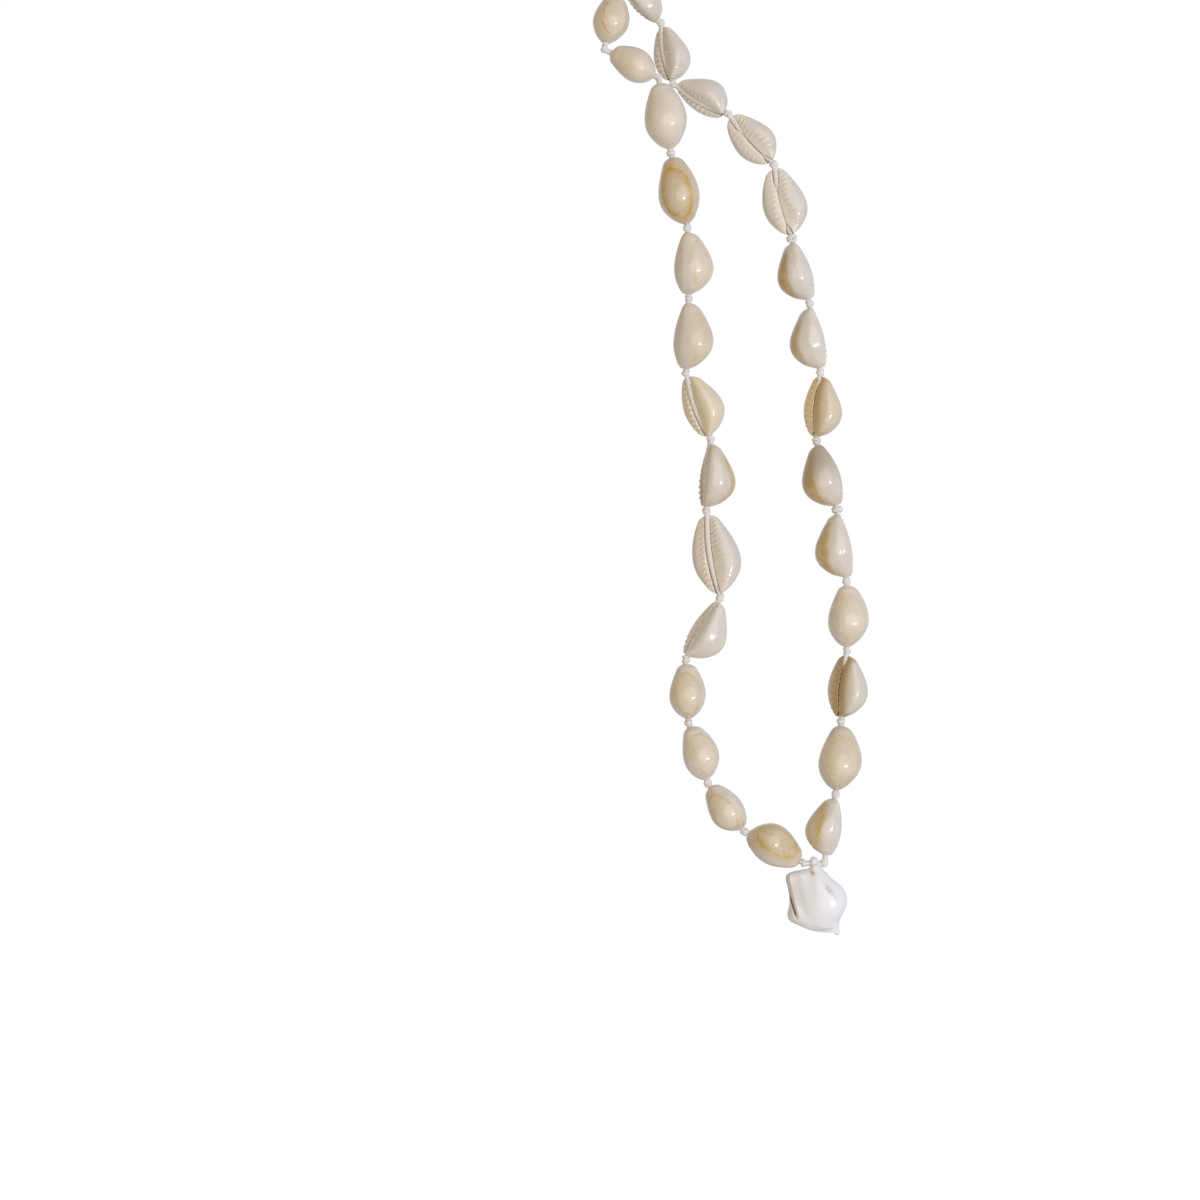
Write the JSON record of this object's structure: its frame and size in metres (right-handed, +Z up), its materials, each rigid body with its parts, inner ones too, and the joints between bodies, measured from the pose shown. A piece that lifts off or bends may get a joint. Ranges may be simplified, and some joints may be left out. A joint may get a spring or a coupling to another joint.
{
  "type": "cowrie shell necklace with a conch shell pendant",
  "caption": "Closed necklace of ring cowries knotted on one braided cord, hanging from its top knot, with a conch shell pendant drilled through its tip.",
  "frame": {"origin": "underside of the top knot, where the loop hangs on a peg or hook", "axes": "+Z up along the hanging loop, +Y away from the viewer through the loop, +X to the viewer's right"},
  "size_m": [0.0999, 0.0319, 0.3478],
  "materials": {
    "cowrie": "glossy shell",
    "cord": "white braided cord",
    "conch": "glossy shell"
  },
  "bodies": {
    "strand": {"cowrie_right_01": "cowrie", "cowrie_right_02": "cowrie", "cowrie_right_03": "cowrie", "cowrie_right_04": "cowrie", "cowrie_right_05": "cowrie", "cowrie_right_06": "cowrie", "cowrie_right_07": "cowrie", "cowrie_right_08": "cowrie", "cowrie_right_09": "cowrie", "cowrie_right_10": "cowrie", "cowrie_right_11": "cowrie", "cowrie_right_12": "cowrie", "cowrie_right_13": "cowrie", "cowrie_right_14": "cowrie", "cowrie_left_01": "cowrie", "cowrie_left_02": "cowrie", "cowrie_left_03": "cowrie", "cowrie_left_04": "cowrie", "cowrie_left_05": "cowrie", "cowrie_left_06": "cowrie", "cowrie_left_07": "cowrie", "cowrie_left_08": "cowrie", "cowrie_left_09": "cowrie", "cowrie_left_10": "cowrie", "cowrie_left_11": "cowrie", "cowrie_left_12": "cowrie", "cowrie_left_13": "cowrie", "cowrie_left_14": "cowrie", "knotted_cord": "cord"},
    "pendant": {"pendant_shell": "conch"}
  },
  "joints": [
    {"name": "pendant_swing", "type": "hinge", "parent": "strand", "child": "pendant", "pos_m": [0.0715, 0, -0.3185], "axis": [1, 0, 0], "range_deg": [-40, 60]}
  ]
}
